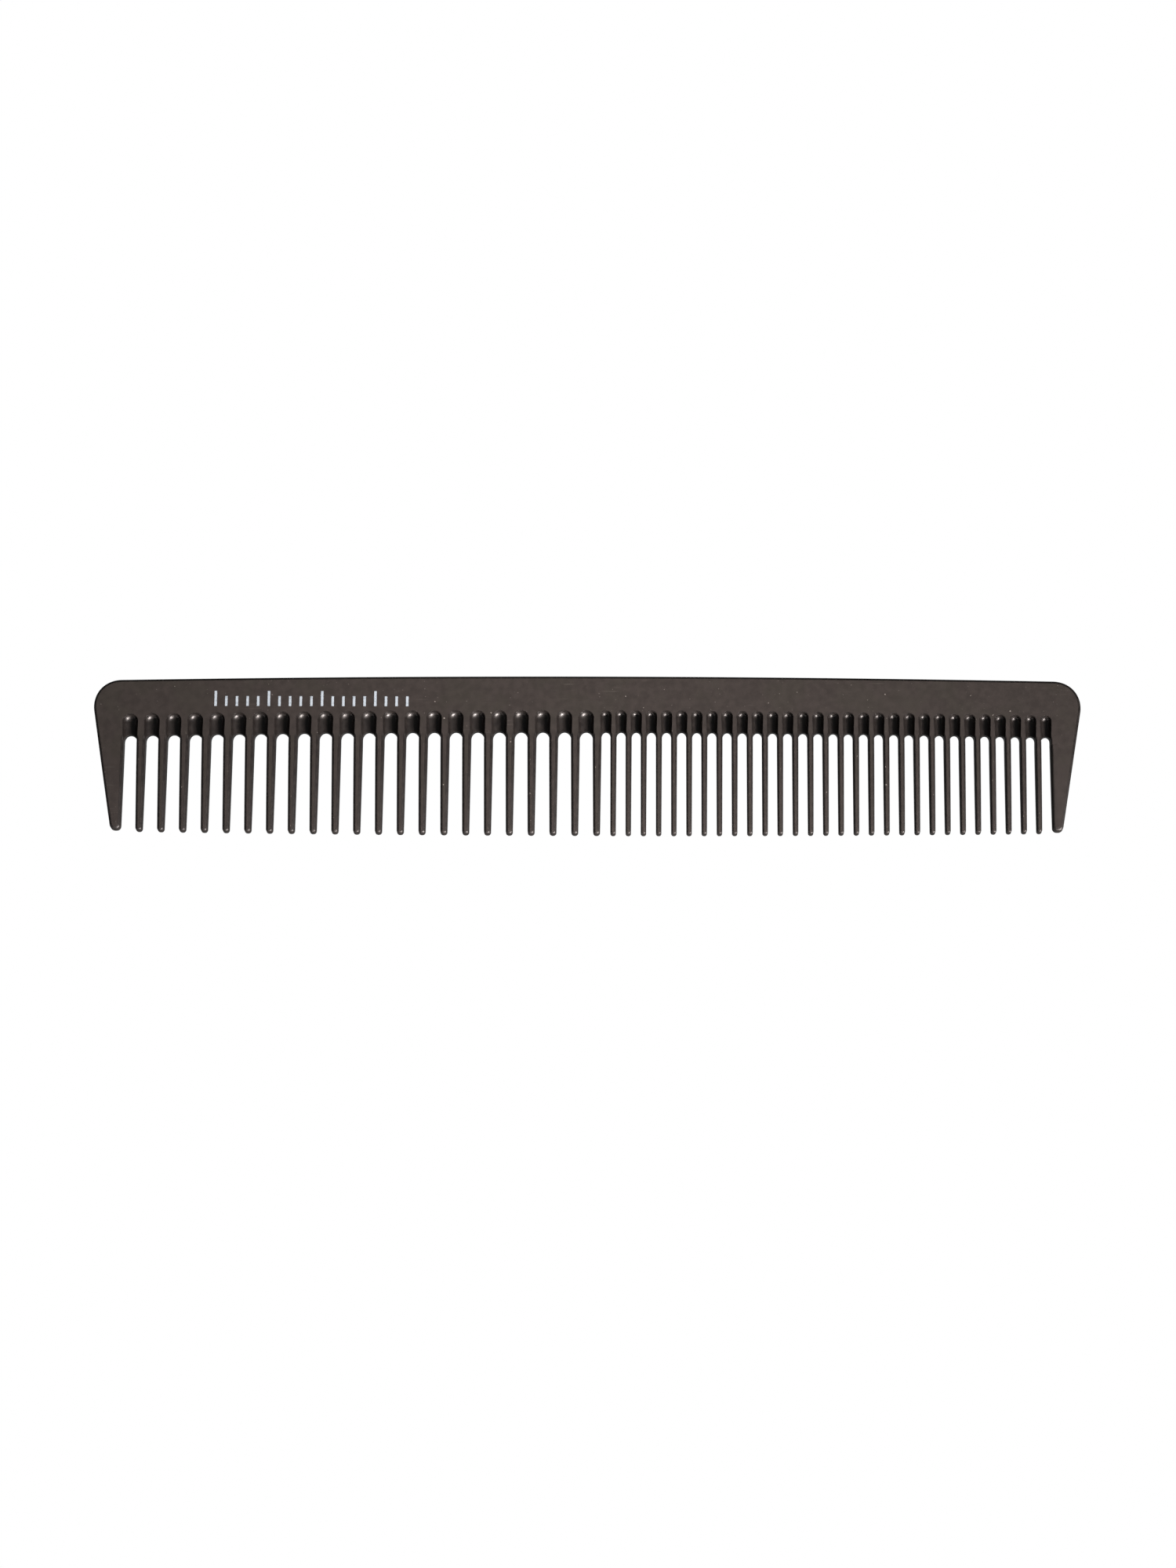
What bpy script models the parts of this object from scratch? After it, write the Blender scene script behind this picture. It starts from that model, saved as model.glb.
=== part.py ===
"""A flat dressing comb with wide-set teeth on its left half and close-set teeth on its right half.

The comb lies flat on its spine. X runs along its length, +Y points from the teeth to the back,
and +Z is up through its thickness. The origin is under the middle of its bounding box.
All sizes are in metres.
"""

import math

import bmesh
import bpy
from mathutils import Matrix, Vector

# Overall sizes
SPINE_DEPTH = 0.01042  # from the tops of the gaps to the back, at mid-length
TOOTH_REACH = 0.01978  # from the tops of the gaps to the tips, at mid-length
THICKNESS = 0.0035  # across the two flat faces of the spine
END_WIDTH = 0.005732  # from the outermost gap to the widest point of an end

# Tooth rows: each pitch is one tooth and one gap
COARSE_TEETH = 22
COARSE_PITCH = 0.004073
COARSE_ROOT_WIDTH = 0.00161
COARSE_TIP_WIDTH = 0.00127
FINE_TEETH = 29
FINE_PITCH = 0.002835
FINE_ROOT_WIDTH = 0.00112
FINE_TIP_WIDTH = 0.00101
TIP_THICKNESS = 0.0024  # a tooth thins from the spine's thickness to this, in a curve

# Bows: how far each line has moved at the end of the tooth field, against its middle
BACK_BOW = 0.00080
GAP_TOP_BOW = 0.00087
TIP_BOW = 0.00060

# Ends and edges
CORNER_RADIUS = 0.0052
GUARD_TIP_WIDTH = 0.00190  # the straight ends lean in towards the tips to leave this width there
GUARD_SETBACK = 0.00020  # how much shorter the two end guards are than the teeth
SPINE_EDGE = 0.00048  # rounding of the outer edges
COARSE_EDGE = 0.00040
FINE_EDGE = 0.00030
TIP_ROUND_SHARE = 0.42  # corner radius of a tip, as a share of the tip's own width
GUARD_LEAN = (COARSE_ROOT_WIDTH - COARSE_TIP_WIDTH) / 2  # of a guard's inner side, as on a tooth

# Scoops: the hollow that leads into each gap, on both faces
SCOOP_LENGTH = 0.00375  # from the top of a gap to the top of its scoop
SCOOP_FLARE = 0.00012  # how much a scoop is wider than its gap, on each side
ROOT_WEB = 0.0011  # thickness left between the two scoops of a gap

# Seams between the named pieces
SEAM = 0.0003
STUB_LENGTH = 0.0005  # the shortest straight stub that the spine keeps under a gap's round top

# Smoothness of round shapes
ARCH_SEGMENTS = 6
CORNER_SEGMENTS = 10
BACK_SEGMENTS = 24
SCOOP_SIDES = 8  # a multiple of four, so that a flat side lies at the bottom
SCOOP_RINGS = 3
SPINE_EDGE_SEGMENTS = 2
TOOTH_EDGE_SEGMENTS = 1
TIP_SEGMENTS = 3
LENGTH_CUTS = 3  # cuts across a tooth, which let it thin in a curve
SMOOTH_ANGLE = math.radians(40)

PLASTIC_COLOUR = (0.030, 0.025, 0.022, 1.0)
PLASTIC_ROUGHNESS = 0.45

COARSE_GAP = COARSE_PITCH - COARSE_ROOT_WIDTH
FINE_GAP = FINE_PITCH - FINE_ROOT_WIDTH
FIELD_LENGTH = COARSE_TEETH * COARSE_PITCH + FINE_TEETH * FINE_PITCH + FINE_GAP
HALF_FIELD = FIELD_LENGTH / 2
HALF_LENGTH = HALF_FIELD + END_WIDTH
TIP_Y = -(TOOTH_REACH + SPINE_DEPTH) / 2
GAP_TOP_Y = TIP_Y + TOOTH_REACH
BACK_Y = GAP_TOP_Y + SPINE_DEPTH


def back_y(x):
    """Y of the back's edge."""
    return BACK_Y - BACK_BOW * (x / HALF_FIELD) ** 2


def gap_top_y(x):
    """Y of the top of a gap centred on x."""
    return GAP_TOP_Y - GAP_TOP_BOW * (x / HALF_FIELD) ** 2


def tip_y(x):
    """Y of the tip of a tooth centred on x."""
    return TIP_Y + TIP_BOW * (x / HALF_FIELD) ** 2


def row_of_teeth():
    """The teeth from left to right, as (kind, number, centre, root width, tip width, edge)."""
    teeth = []
    first = -HALF_FIELD + COARSE_GAP + COARSE_ROOT_WIDTH / 2
    for k in range(COARSE_TEETH):
        centre = first + k * COARSE_PITCH
        teeth.append(("coarse", k + 1, centre, COARSE_ROOT_WIDTH, COARSE_TIP_WIDTH, COARSE_EDGE))
    first = HALF_FIELD - FINE_GAP - FINE_ROOT_WIDTH / 2 - (FINE_TEETH - 1) * FINE_PITCH
    for k in range(FINE_TEETH):
        centre = first + k * FINE_PITCH
        teeth.append(("fine", k + 1, centre, FINE_ROOT_WIDTH, FINE_TIP_WIDTH, FINE_EDGE))
    return teeth


def row_of_gaps():
    """The gaps from left to right, as (centre, half width)."""
    coarse_start = -HALF_FIELD + COARSE_GAP / 2
    gaps = [(coarse_start + k * COARSE_PITCH, COARSE_GAP / 2) for k in range(COARSE_TEETH)]
    fine_start = HALF_FIELD - FINE_GAP / 2 - FINE_TEETH * FINE_PITCH
    gaps += [(fine_start + k * FINE_PITCH, FINE_GAP / 2) for k in range(FINE_TEETH + 1)]
    return gaps


def cut_y():
    """Y of the middle of the seam between the spine and the teeth, just under the round tops."""
    return min(gap_top_y(x) - half for x, half in row_of_gaps()) - STUB_LENGTH


def corner_centre():
    """Centre of the right-hand corner's arc."""
    x = HALF_LENGTH - CORNER_RADIUS
    return Vector((x, back_y(x) - CORNER_RADIUS))


def guard_tip():
    """The outer corner of the right-hand guard's tip, before its rounding."""
    x = HALF_FIELD + GUARD_LEAN + GUARD_TIP_WIDTH
    return Vector((x, tip_y(HALF_FIELD) + GUARD_SETBACK))


def end_slope():
    """Angle of the straight ends, which run from the corners' arcs to the guards' tips."""
    to_centre = corner_centre() - guard_tip()
    return math.atan2(to_centre.x, to_centre.y) + math.asin(CORNER_RADIUS / to_centre.length)


def end_x(y):
    """X of the right-hand end's leaning edge."""
    tip = guard_tip()
    return tip.x + (y - tip.y) * math.tan(end_slope())


def arc(centre, radius, start, end, segments):
    """Points on an arc, both ends included."""
    points = []
    for k in range(segments + 1):
        angle = start + (end - start) * k / segments
        points.append(centre + radius * Vector((math.cos(angle), math.sin(angle))))
    return points


def spine_outer_edge(bottom):
    """The spine's outer edge from the right-hand seam over the back to the left-hand seam."""
    right = [Vector((end_x(bottom), bottom))]
    right += arc(corner_centre(), CORNER_RADIUS, -end_slope(), math.pi / 2, CORNER_SEGMENTS)
    reach = right[-1].x
    back = []
    for k in range(1, BACK_SEGMENTS):
        x = reach - 2 * reach * k / BACK_SEGMENTS
        back.append(Vector((x, back_y(x))))
    left = [Vector((-p.x, p.y)) for p in reversed(right)]
    return right + back + left


def gap_edge(centre, half, bottom):
    """One gap's edge from the seam up its left side, over its round top and down again."""
    spring = Vector((centre, gap_top_y(centre) - half))
    top = arc(spring, half, math.pi, 0.0, ARCH_SEGMENTS)
    return [Vector((centre - half, bottom)), *top, Vector((centre + half, bottom))]


def extruded(outline, thickness):
    """A bmesh of the outline extruded upwards from z = 0."""
    bm = bmesh.new()
    floor = bm.faces.new([bm.verts.new((p.x, p.y, 0.0)) for p in outline])
    grown = bmesh.ops.extrude_face_region(bm, geom=[floor])
    raised = [item for item in grown["geom"] if isinstance(item, bmesh.types.BMVert)]
    bmesh.ops.translate(bm, verts=raised, vec=(0.0, 0.0, thickness))
    bmesh.ops.recalc_face_normals(bm, faces=bm.faces)
    return bm


def round_edges(bm, edges, radius, segments):
    """Rounds the given edges of a bmesh."""
    bmesh.ops.bevel(
        bm,
        geom=edges,
        offset=radius,
        offset_type="OFFSET",
        segments=segments,
        profile=0.5,
        affect="EDGES",
        material=-1,
    )


def plastic(name):
    """The comb's dark satin plastic."""
    material = bpy.data.materials.new(name)
    material.use_nodes = True
    shader = material.node_tree.nodes["Principled BSDF"]
    shader.inputs["Base Color"].default_value = PLASTIC_COLOUR
    shader.inputs["Roughness"].default_value = PLASTIC_ROUGHNESS
    shader.inputs["Metallic"].default_value = 0.0
    material.diffuse_color = PLASTIC_COLOUR
    return material


def add_object(name, bm, location, parent, material):
    """Makes an object of the bmesh, with its origin at location under parent."""
    mesh = bpy.data.meshes.new(name)
    bm.to_mesh(mesh)
    bm.free()
    mesh.shade_smooth()
    mesh.set_sharp_from_angle(angle=SMOOTH_ANGLE)
    obj = bpy.data.objects.new(name, mesh)
    obj.location = location
    obj.parent = parent
    if material:
        mesh.materials.append(material)
    bpy.context.scene.collection.objects.link(obj)
    return obj


def scoop_body(half_width, length):
    """A round-ended bar along Y: its ball end's top is at y = 0 and it runs down to -length."""
    depth = (THICKNESS - ROOT_WEB) / 2
    # The flat sides of the bar, not its corners, touch the true round shape.
    corner = half_width / math.cos(math.pi / SCOOP_SIDES)
    bm = bmesh.new()
    ball = arc(Vector((0.0, -half_width)), half_width, math.pi / 2, 0.0, SCOOP_RINGS)
    profile = [Vector((p.x * corner / half_width, p.y)) for p in ball]
    profile += [Vector((corner, -length)), Vector((0.0, -length))]
    verts = [bm.verts.new((p.x, p.y, 0.0)) for p in profile]
    edges = [bm.edges.new(pair) for pair in zip(verts, verts[1:])]
    half_step = Matrix.Rotation(math.pi / SCOOP_SIDES, 3, "Y")
    bmesh.ops.rotate(bm, verts=verts, cent=(0.0, 0.0, 0.0), matrix=half_step)
    bmesh.ops.spin(
        bm,
        geom=verts + edges,
        cent=(0.0, 0.0, 0.0),
        axis=(0.0, 1.0, 0.0),
        angle=2 * math.pi,
        steps=SCOOP_SIDES,
        use_merge=True,
    )
    bmesh.ops.remove_doubles(bm, verts=bm.verts, dist=1e-6)
    bmesh.ops.scale(bm, verts=bm.verts, vec=(1.0, 1.0, depth / half_width))
    bmesh.ops.recalc_face_normals(bm, faces=bm.faces)
    return bm


def add_scoop_cutter(parent):
    """One hidden object that holds the scoops of every gap, on both faces."""
    bottom = cut_y() - STUB_LENGTH
    cutters = bmesh.new()
    for centre, half in row_of_gaps():
        top = gap_top_y(centre) + SCOOP_LENGTH
        body = scoop_body(half + SCOOP_FLARE, top - bottom)
        piece = bpy.data.meshes.new("scoop")
        body.to_mesh(piece)
        body.free()
        for face_z in (0.0, THICKNESS):
            before = len(cutters.verts)
            cutters.from_mesh(piece)
            cutters.verts.ensure_lookup_table()
            bmesh.ops.translate(cutters, verts=cutters.verts[before:], vec=(centre, top, face_z))
        bpy.data.meshes.remove(piece)
    cutter = add_object("scoop_cutter", cutters, (0.0, 0.0, 0.0), parent, None)
    cutter.hide_render = True
    cutter.display_type = "WIRE"
    return cutter


def add_spine(parent, material):
    """The spine with its rounded back and corners, its round gap tops and its scoops."""
    bottom = cut_y() + SEAM / 2
    outer = spine_outer_edge(bottom)
    outline = list(outer)
    for centre, half in row_of_gaps():
        outline += gap_edge(centre, half, bottom)
    bm = extruded(outline, THICKNESS)
    on_outer = {(round(p.x, 7), round(p.y, 7)) for p in outer}

    def is_outer(vert):
        return (round(vert.co.x, 7), round(vert.co.y, 7)) in on_outer

    def is_level(edge):
        return abs(edge.verts[0].co.z - edge.verts[1].co.z) < SEAM

    rims = [e for e in bm.edges if is_level(e) and is_outer(e.verts[0]) and is_outer(e.verts[1])]
    round_edges(bm, rims, SPINE_EDGE, SPINE_EDGE_SEGMENTS)
    spine = add_object("spine", bm, (0.0, 0.0, 0.0), parent, material)
    scoops = spine.modifiers.new("Scoops", "BOOLEAN")
    scoops.operation = "DIFFERENCE"
    scoops.solver = "EXACT"
    scoops.object = add_scoop_cutter(parent)
    return spine


def tapered_bar(root, tip, length, thickness_root, thickness_tip):
    """A bar along -Y from y = 0, whose ends run between the X values in root and in tip."""
    bm = bmesh.new()
    bmesh.ops.create_cube(bm, size=1.0)
    along = [e for e in bm.edges if abs(e.verts[0].co.y - e.verts[1].co.y) > 0.5]
    bmesh.ops.subdivide_edges(bm, edges=along, cuts=LENGTH_CUTS, use_grid_fill=True)
    for vert in bm.verts:
        share = 0.5 - vert.co.y
        low = root[0] + (tip[0] - root[0]) * share
        high = root[1] + (tip[1] - root[1]) * share
        thickness = thickness_root + (thickness_tip - thickness_root) * share**2
        vert.co.x = high if vert.co.x > 0 else low
        vert.co.y = -length * share
        vert.co.z = math.copysign(thickness / 2, vert.co.z)
    return bm


def round_bar(bm, length, edge, tip_round):
    """Rounds a bar's tip as seen from above, and then its upper and lower edges."""

    def at_tip(vert):
        return vert.co.y < -length + SEAM / 2

    def upright(e):
        return e.verts[0].co.z * e.verts[1].co.z < 0

    corners = [e for e in bm.edges if upright(e) and all(at_tip(v) for v in e.verts)]
    round_edges(bm, corners, tip_round, TIP_SEGMENTS)
    folds = [e for e in bm.edges if e.calc_face_angle() > SMOOTH_ANGLE and not upright(e)]
    rims = [e for e in folds if any(v.co.y < -SEAM / 2 for v in e.verts)]
    round_edges(bm, rims, edge, TOOTH_EDGE_SEGMENTS)
    bmesh.ops.recalc_face_normals(bm, faces=bm.faces)


def add_tooth(tooth, parent, material):
    """One tooth, with its origin at the middle of its root."""
    kind, number, centre, root_width, tip_width, edge = tooth
    top = cut_y() - SEAM / 2
    length = top - tip_y(centre)
    root = (-root_width / 2, root_width / 2)
    tip = (-tip_width / 2, tip_width / 2)
    bm = tapered_bar(root, tip, length, THICKNESS, TIP_THICKNESS)
    round_bar(bm, length, edge, TIP_ROUND_SHARE * tip_width)
    place = (centre, top, THICKNESS / 2)
    return add_object(f"{kind}_tooth_{number:02d}", bm, place, parent, material)


def add_guard(name, side, parent, material):
    """One end guard, the wide last tooth at an end: side is -1 for the left end, 1 for the right."""
    top = cut_y() - SEAM / 2
    outer_tip = guard_tip()
    length = top - outer_tip.y
    root = sorted((side * HALF_FIELD, side * end_x(top)))
    tip = sorted((side * (HALF_FIELD + GUARD_LEAN), side * outer_tip.x))
    bm = tapered_bar(root, tip, length, THICKNESS, TIP_THICKNESS)
    round_bar(bm, length, COARSE_EDGE, TIP_ROUND_SHARE * GUARD_TIP_WIDTH)
    return add_object(name, bm, (0.0, top, THICKNESS / 2), parent, material)


def main():
    """Clears the scene and builds the comb."""
    for obj in list(bpy.data.objects):
        bpy.data.objects.remove(obj)
    comb = bpy.data.objects.new("comb", None)
    bpy.context.scene.collection.objects.link(comb)
    add_spine(comb, plastic("spine"))
    guard_plastic = plastic("end_guards")
    add_guard("coarse_end_guard", -1, comb, guard_plastic)
    add_guard("fine_end_guard", 1, comb, guard_plastic)
    tooth_plastic = {"coarse": plastic("coarse_teeth"), "fine": plastic("fine_teeth")}
    for tooth in row_of_teeth():
        add_tooth(tooth, comb, tooth_plastic[tooth[0]])


main()
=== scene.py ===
"""The finished look of a flat dressing comb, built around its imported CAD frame.

The comb lies flat on a pale floor. X runs along its length with the wide-set teeth at -X, +Y points
from the teeth to the back, and +Z is up. Every size is in metres. Each named part of the frame gets
one finished piece, and neighbouring pieces meet flush in the middle of the frame's narrow seams.
"""

import logging
import math
from collections.abc import Callable, Iterable, Sequence
from dataclasses import dataclass, field
from enum import Enum

import bmesh
import bpy
from mathutils import Matrix, Vector


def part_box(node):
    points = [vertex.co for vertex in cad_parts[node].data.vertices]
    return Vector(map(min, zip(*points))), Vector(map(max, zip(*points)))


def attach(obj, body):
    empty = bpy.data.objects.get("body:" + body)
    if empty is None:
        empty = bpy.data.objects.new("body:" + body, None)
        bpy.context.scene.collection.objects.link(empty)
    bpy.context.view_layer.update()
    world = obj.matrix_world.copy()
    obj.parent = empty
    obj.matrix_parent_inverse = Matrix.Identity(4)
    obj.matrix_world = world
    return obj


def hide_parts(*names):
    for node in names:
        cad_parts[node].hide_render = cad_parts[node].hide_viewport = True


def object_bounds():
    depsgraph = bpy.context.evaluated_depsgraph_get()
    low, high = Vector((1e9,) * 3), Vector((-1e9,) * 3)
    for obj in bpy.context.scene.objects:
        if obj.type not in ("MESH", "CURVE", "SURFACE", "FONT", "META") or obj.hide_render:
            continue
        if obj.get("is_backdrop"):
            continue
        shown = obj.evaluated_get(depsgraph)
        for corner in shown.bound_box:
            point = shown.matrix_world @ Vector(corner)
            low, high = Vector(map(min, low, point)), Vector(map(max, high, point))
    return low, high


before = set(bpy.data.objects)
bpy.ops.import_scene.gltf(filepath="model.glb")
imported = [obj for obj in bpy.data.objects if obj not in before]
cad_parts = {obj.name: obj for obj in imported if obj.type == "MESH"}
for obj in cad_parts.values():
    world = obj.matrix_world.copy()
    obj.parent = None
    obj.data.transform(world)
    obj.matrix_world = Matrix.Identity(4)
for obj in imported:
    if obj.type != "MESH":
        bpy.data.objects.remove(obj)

CAD_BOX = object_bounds()
BODY = "root"
MM = 0.001
MICRON = 0.000001
CUT_MARGIN = 1.0 * MM  # how far a cutter runs past the surface that it opens
WAVE_PERIOD = math.pi / 10  # of a Wave texture at a scale of 1
LENGTH_CUTS = 11  # cuts across a tooth, which let it thin in a curve
END_BAND = 0.1 * MM  # an edge this close to an end of a bar counts as being at it
FOLD_ANGLE = math.radians(30)  # from which two faces of a bar meet in a visible edge
RIGHT_ANGLE_SLACK = 0.2  # radians, for edges that are square or nearly so
FLAT_WEIGHT = 50  # of large faces over small ones in the shading

log = logging.getLogger("comb")


# ---------------------------------------------------------------------------------------------
# Shader graphs
# ---------------------------------------------------------------------------------------------


class Number:
    """A shader value that adds Math nodes when it is used in an expression."""

    def __init__(self, graph: "Graph", socket: bpy.types.NodeSocket) -> None:
        """Wraps a socket of a graph.

        Args:
            graph: The graph that new nodes go into.
            socket: The output socket that carries the value.
        """
        self.graph = graph
        self.socket = socket

    def _math(self, operation: str, *operands: "Number | float") -> "Number":
        """Adds one Math node.

        Args:
            operation: The node's operation.
            operands: Its inputs in order, as wrapped sockets or plain numbers.

        Returns:
            The node's result.
        """
        inputs = {k: getattr(value, "socket", value) for k, value in enumerate(operands)}
        node = self.graph.node("ShaderNodeMath", {"operation": operation}, inputs)
        return Number(self.graph, node.outputs[0])

    def __add__(self, other: "Number | float") -> "Number":
        """self + other."""
        return self._math("ADD", self, other)

    def __sub__(self, other: "Number | float") -> "Number":
        """self - other."""
        return self._math("SUBTRACT", self, other)

    def __mul__(self, other: "Number | float") -> "Number":
        """self * other."""
        return self._math("MULTIPLY", self, other)

    def __truediv__(self, other: "Number | float") -> "Number":
        """self / other."""
        return self._math("DIVIDE", self, other)

    def __mod__(self, other: float) -> "Number":
        """self modulo other, which is never negative."""
        return self._math("FLOORED_MODULO", self, other)

    def __abs__(self) -> "Number":
        """The size of self without its sign."""
        return self._math("ABSOLUTE", self)

    def __lt__(self, other: "Number | float") -> "Number":
        """1 where self < other, else 0."""
        return self._math("LESS_THAN", self, other)

    def __gt__(self, other: "Number | float") -> "Number":
        """1 where self > other, else 0."""
        return self._math("GREATER_THAN", self, other)

    def nearest(self) -> "Number":
        """The nearest whole number."""
        return self._math("ROUND", self)

    def ramp(self, low: float, high: float) -> "Number":
        """A smooth step of self.

        Args:
            low: The value at which the step starts from 0.
            high: The value at which it reaches 1. Below low, the step falls instead.

        Returns:
            The step, from 0 to 1.
        """
        rising = high > low
        inputs = {
            "Value": self.socket,
            "From Min": min(low, high),
            "From Max": max(low, high),
            "To Min": 0.0 if rising else 1.0,
            "To Max": 1.0 if rising else 0.0,
        }
        node = self.graph.node("ShaderNodeMapRange", {"interpolation_type": "SMOOTHSTEP"}, inputs)
        return Number(self.graph, node.outputs["Result"])


class NodeTree:
    """A shader node tree that starts empty."""

    def __init__(self, owner: bpy.types.Material | bpy.types.World) -> None:
        """Empties the node tree of a material or of the world."""
        owner.use_nodes = True
        self.tree = owner.node_tree
        self.tree.nodes.clear()

    def node(
        self,
        kind: str,
        settings: dict[str, object] | None = None,
        inputs: dict[str | int, object] | None = None,
    ) -> bpy.types.Node:
        """Adds one node.

        Args:
            kind: The node's type.
            settings: Properties of the node, which are set first.
            inputs: A value or a link for each socket named or numbered.

        Returns:
            The node.
        """
        made = self.tree.nodes.new(kind)
        for key, value in (settings or {}).items():
            setattr(made, key, value)
        self.fill(made, inputs or {})
        return made

    def fill(self, made: bpy.types.Node, inputs: dict[str | int, object]) -> None:
        """Sets or links a node's sockets.

        Args:
            made: The node.
            inputs: A value or a link for each socket named or numbered.
        """
        for key, value in inputs.items():
            value = getattr(value, "socket", value)
            if isinstance(value, bpy.types.NodeSocket):
                self.tree.links.new(value, made.inputs[key])
            else:
                made.inputs[key].default_value = value


Colour = tuple[float, float, float, float]
Step = tuple[float, float]  # where a smooth step starts, and where it is complete


@dataclass(frozen=True)
class Specks:
    """Small ragged specks, one in some of the cells of an uneven grid."""

    spacing: float  # between the cells, in metres
    radius: float  # of a speck, in metres
    share: float  # of the cells that hold one
    ragged_size: float = 1.6  # width of the raggedness, in radii
    ragged_reach: float = 2.4  # its reach, in radii
    least: float = 0.5  # size of the smallest speck
    spread: float = 0.7  # how much larger the largest is
    outer: float = 1.3  # where the rim of a speck starts, in radii
    inner: float = 0.5  # where it is full, in radii


class Graph(NodeTree):
    """The node tree of one material, with its Principled shader and its position on the object."""

    def __init__(self, name: str) -> None:
        """Makes an empty material of that name."""
        self.material = bpy.data.materials.new(name)
        super().__init__(self.material)
        self.shader = self.node("ShaderNodeBsdfPrincipled")
        self.node("ShaderNodeOutputMaterial", {}, {"Surface": self.shader.outputs["BSDF"]})
        self.position = self.node("ShaderNodeTexCoord").outputs["Object"]

    def axes(self) -> tuple[Number, Number, Number]:
        """The position's X, Y and Z."""
        split = self.node("ShaderNodeSeparateXYZ", {}, {"Vector": self.position})
        return tuple(Number(self, axis) for axis in split.outputs)

    def stretched(self, scale: tuple[float, float, float]) -> bpy.types.NodeSocket:
        """The position, scaled along each axis."""
        mapping = self.node("ShaderNodeMapping", {}, {"Vector": self.position, "Scale": scale})
        return mapping.outputs["Vector"]

    def noise(
        self,
        size: float,
        detail: float = 2.0,
        roughness: float = 0.5,
        vector: bpy.types.NodeSocket | None = None,
    ) -> Number:
        """Soft random blotches.

        Args:
            size: Width of a blotch in metres.
            detail: How many finer layers lie over it.
            roughness: How strong the finer layers are.
            vector: The coordinates it is drawn on, or none for the position.

        Returns:
            The value, about 0 to 1 around 0.5.
        """
        inputs = {
            "Vector": vector or self.position,
            "Scale": 1.0 / size,
            "Detail": detail,
            "Roughness": roughness,
        }
        return Number(self, self.node("ShaderNodeTexNoise", {}, inputs).outputs["Fac"])

    def warped(self, size: float, reach: float) -> bpy.types.NodeSocket:
        """The position, pushed about at random.

        Args:
            size: Width in metres over which the push changes.
            reach: How far it pushes, in metres.

        Returns:
            The warped position.
        """
        inputs = {"Vector": self.position, "Scale": 1.0 / size, "Detail": 2.0}
        push = self.node("ShaderNodeTexNoise", {}, inputs).outputs["Color"]
        inputs = {0: push, 1: (reach, reach, reach), 2: self.position}
        return self.node("ShaderNodeVectorMath", {"operation": "MULTIPLY_ADD"}, inputs).outputs[0]

    def scattered(self, specks: Specks) -> Number:
        """Scatters specks at random: 1 in a speck and 0 outside."""
        radius = specks.radius
        vector = self.warped(radius * specks.ragged_size, radius * specks.ragged_reach)
        inputs = {"Vector": vector, "Scale": 1.0 / specks.spacing, "Randomness": 1.0}
        cells = self.node("ShaderNodeTexVoronoi", {"feature": "F1"}, inputs)
        pick = self.node("ShaderNodeSeparateColor", {}, {"Color": cells.outputs["Color"]})
        chosen = Number(self, pick.outputs["Red"]) < specks.share
        size = Number(self, pick.outputs["Green"]) * specks.spread + specks.least
        near = Number(self, cells.outputs["Distance"]) / size
        rim = radius / specks.spacing
        return near.ramp(rim * specks.outer, rim * specks.inner) * chosen

    def mix(self, factor: object, first: object, second: object) -> bpy.types.NodeSocket:
        """Blends two colours.

        Args:
            factor: 0 for the first and 1 for the second, as a number or a link.
            first: A colour or a link.
            second: A colour or a link.

        Returns:
            The blended colour.
        """
        inputs = {"Factor": factor, 6: first, 7: second}
        return self.node("ShaderNodeMix", {"data_type": "RGBA"}, inputs).outputs[2]

    def bump(self, height: Number, rise: float) -> bpy.types.NodeSocket:
        """A normal from a height.

        Args:
            height: The height, 0 to 1.
            rise: What a height of 1 stands for, in metres.

        Returns:
            The bumped normal.
        """
        inputs = {"Height": height, "Distance": rise, "Strength": 1.0}
        return self.node("ShaderNodeBump", {}, inputs).outputs["Normal"]

    def dress(self, values: dict[str, object]) -> bpy.types.Material:
        """Sets or links the shader's sockets and hands over the material."""
        self.fill(self.shader, values)
        return self.material


@dataclass(frozen=True)
class PrintedScale:
    """A plain row of pad-printed ticks, of the kind that measures hair: every fifth is longer."""

    start_x: float = -69.6 * MM
    low_y: float = 9.2 * MM
    pitch: float = 2.0 * MM
    ticks: int = 19
    every: int = 5
    stroke: float = 0.46 * MM
    tall: float = 2.9 * MM
    short: float = 1.9 * MM
    softness: float = 0.05 * MM
    raggedness: float = 0.05 * MM
    ragged_size: float = 0.25 * MM
    cover_size: float = 0.5 * MM
    cover_step: Step = (0.28, 0.55)
    colour: Colour = (0.34, 0.40, 0.45, 1.0)
    thin_colour: Colour = (0.24, 0.29, 0.33, 1.0)

    def mask(self, graph: Graph, face_z: float) -> Number:
        """Where the ink lies.

        Args:
            graph: The graph of the printed face.
            face_z: Height below which nothing is printed.

        Returns:
            1 on the ink and 0 elsewhere.
        """
        x, y, z = graph.axes()
        ragged = (graph.noise(self.ragged_size, detail=1.0) - 0.5) * self.raggedness
        along = (x - self.start_x) / self.pitch
        tick = along.nearest()
        beside = abs(along - tick) * self.pitch + ragged
        stroke = beside.ramp(self.stroke / 2 + self.softness, self.stroke / 2 - self.softness)
        is_tall = (tick % self.every) < 0.5
        height = is_tall * (self.tall - self.short) + self.short
        above = y - self.low_y + ragged
        foot = above.ramp(-self.softness, self.softness)
        head = (height - above).ramp(-self.softness, self.softness)
        in_row = (along > -0.5) * (along < self.ticks - 0.5)
        return stroke * foot * head * in_row * (z > face_z)

    def ink(self, graph: Graph) -> bpy.types.NodeSocket:
        """The ink's colour, a little thinner in places."""
        cover = graph.noise(self.cover_size, detail=3.0).ramp(*self.cover_step)
        return graph.mix(cover, self.thin_colour, self.colour)


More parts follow.
